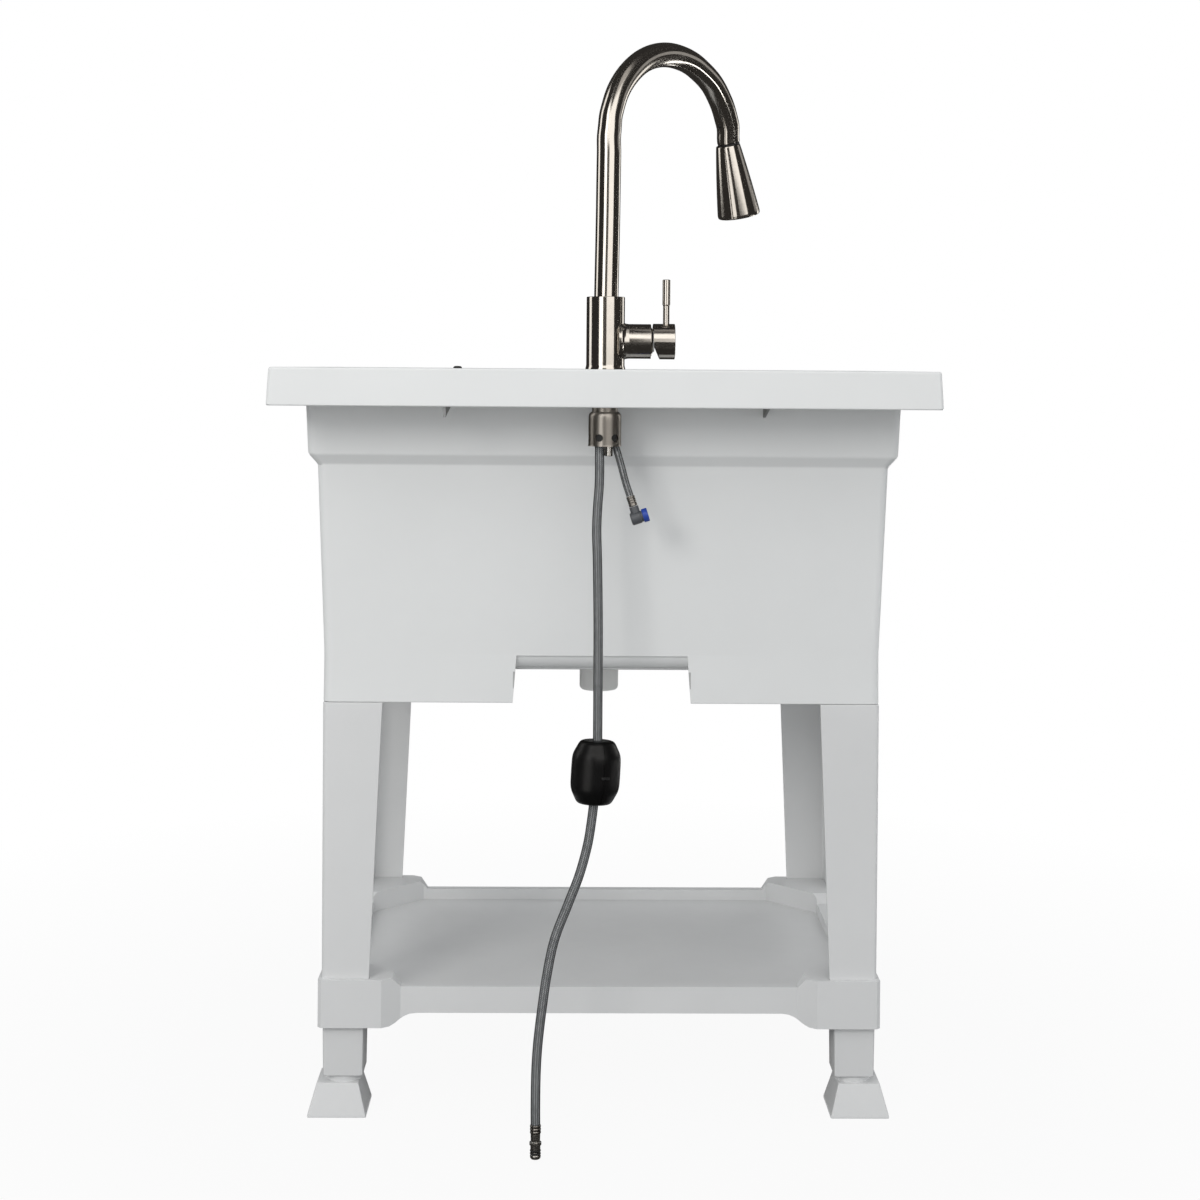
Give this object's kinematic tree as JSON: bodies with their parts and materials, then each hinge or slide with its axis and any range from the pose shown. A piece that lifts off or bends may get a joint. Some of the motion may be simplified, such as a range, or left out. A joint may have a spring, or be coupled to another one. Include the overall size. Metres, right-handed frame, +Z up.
{
  "type": "utility laundry sink",
  "caption": "Free-standing plastic laundry tub on four legs with a lower shelf, levelling feet, a pull-down gooseneck spray faucet, a plugged drain and a weighted spray hose.",
  "frame": {"origin": "on the floor, under the centre of the deck", "axes": "+X the user's right, +Y the back where the faucet stands, +Z up"},
  "size_m": [0.711, 0.604, 1.1879],
  "materials": {
    "tub_plastic": "finely textured moulded plastic, off white",
    "stand_plastic": "finely textured moulded plastic, pale grey",
    "white_plastic": "smooth white plastic",
    "nickel": "brushed nickel plating on metal",
    "dark_metal": "darker plated metal",
    "hose_braid": "grey braided sheath over a plastic tube",
    "weight_coating": "black coating over metal halves",
    "black_plastic": "black moulded plastic",
    "black_rubber": "black rubber",
    "grey_plastic": "dark grey moulded plastic",
    "blue_plastic": "blue moulded plastic"
  },
  "bodies": {
    "sink": {"tub": "tub_plastic", "drain_body": "white_plastic", "drain_gasket": "black_rubber", "drain_locknut": "white_plastic", "deck_plug": "black_rubber", "shelf": "stand_plastic", "leg_rear_left": "stand_plastic", "leg_rear_right": "stand_plastic", "leg_front_left": "stand_plastic", "leg_front_right": "stand_plastic", "extension_rear_left": "stand_plastic", "extension_rear_right": "stand_plastic", "extension_front_left": "stand_plastic", "extension_front_right": "stand_plastic", "faucet_body": "nickel", "base_gasket": "black_rubber", "rubber_washer": "black_rubber", "metal_washer": "nickel", "spacer_sleeve": "white_plastic", "shank": "dark_metal", "mounting_nut": "nickel", "hot_inlet": "nickel", "cold_inlet": "nickel", "outlet_stub": "nickel", "spout_retainer": "nickel", "cartridge_housing": "white_plastic", "cartridge_nut": "nickel", "hose_in_body": "hose_braid", "outlet_hose": "hose_braid", "outlet_ferrule": "dark_metal", "quick_connector": "grey_plastic"},
    "stopper": {"drain_stopper": "black_rubber"},
    "rotor": {"cartridge_rotor": "white_plastic"},
    "handle": {"cartridge_stem": "dark_metal", "handle_hub": "nickel", "handle_lever": "nickel", "handle_screw": "dark_metal"},
    "spout": {"spout_tube": "nickel", "spout_oring": "black_rubber", "docking_bush": "black_plastic", "spout_screw": "black_plastic", "hose_in_spout": "hose_braid"},
    "spray_head": {"head_shell": "nickel", "nozzle_face": "black_plastic", "head_nut": "dark_metal", "head_hose_stub": "hose_braid"},
    "button": {"mode_button": "black_plastic"},
    "hose_weight": {"hose_upper": "hose_braid", "weight_half_left": "weight_coating", "weight_half_right": "weight_coating", "hose_lower": "hose_braid", "hose_ferrule": "dark_metal", "hose_nipple": "nickel", "nipple_oring_upper": "black_rubber", "nipple_oring_lower": "black_rubber"},
    "clip": {"connector_clip": "blue_plastic"},
    "levelling_foot_rear_left": {"foot_rear_left": "stand_plastic"},
    "levelling_foot_rear_right": {"foot_rear_right": "stand_plastic"},
    "levelling_foot_front_left": {"foot_front_left": "stand_plastic"},
    "levelling_foot_front_right": {"foot_front_right": "stand_plastic"}
  },
  "joints": [
    {"name": "spout_swivel", "type": "hinge", "parent": "sink", "child": "spout", "pos_m": [0, 0.246, 0.88], "axis": [0, 0, 1], "continuous": true},
    {"name": "head_pull", "type": "slide", "parent": "spout", "child": "spray_head", "axis": [-0.1831, -0.2448, -0.9521], "range_m": [0, 0.28]},
    {"name": "mode_press", "type": "slide", "parent": "spray_head", "child": "button", "axis": [0.5704, 0.7624, -0.3057], "range_m": [0, 0.0015], "stiffness_N_per_m": 500, "springref_m": -0.002},
    {"name": "hose_travel", "type": "slide", "parent": "sink", "child": "hose_weight", "axis": [0, 0, 1], "range_m": [0, 0.28], "deforming": ["hose_upper"]},
    {"name": "mix_turn", "type": "hinge", "parent": "sink", "child": "rotor", "pos_m": [-0.04, 0.246, 0.8521], "axis": [1, 0, 0], "range_deg": [-50, 50]},
    {"name": "flow_tilt", "type": "hinge", "parent": "rotor", "child": "handle", "pos_m": [-0.048, 0.246, 0.8521], "axis": [0, -1, 0], "range_deg": [0, 20]},
    {"name": "stopper_lift", "type": "slide", "parent": "sink", "child": "stopper", "axis": [0, 0, 1], "range_m": [0, 0.08]},
    {"name": "clip_press", "type": "slide", "parent": "sink", "child": "clip", "axis": [0.9504, 0, -0.311], "range_m": [0, 0.001], "stiffness_N_per_m": 500, "springref_m": -0.002},
    {"name": "foot_level_rear_left", "type": "slide", "parent": "sink", "child": "levelling_foot_rear_left", "axis": [0, 0, -1], "range_m": [0, 0.02]},
    {"name": "foot_level_rear_right", "type": "slide", "parent": "sink", "child": "levelling_foot_rear_right", "axis": [0, 0, -1], "range_m": [0, 0.02]},
    {"name": "foot_level_front_left", "type": "slide", "parent": "sink", "child": "levelling_foot_front_left", "axis": [0, 0, -1], "range_m": [0, 0.02]},
    {"name": "foot_level_front_right", "type": "slide", "parent": "sink", "child": "levelling_foot_front_right", "axis": [0, 0, -1], "range_m": [0, 0.02]}
  ],
  "couplings": [
    {"joint": "hose_travel", "follows": "head_pull", "ratio": 1}
  ]
}
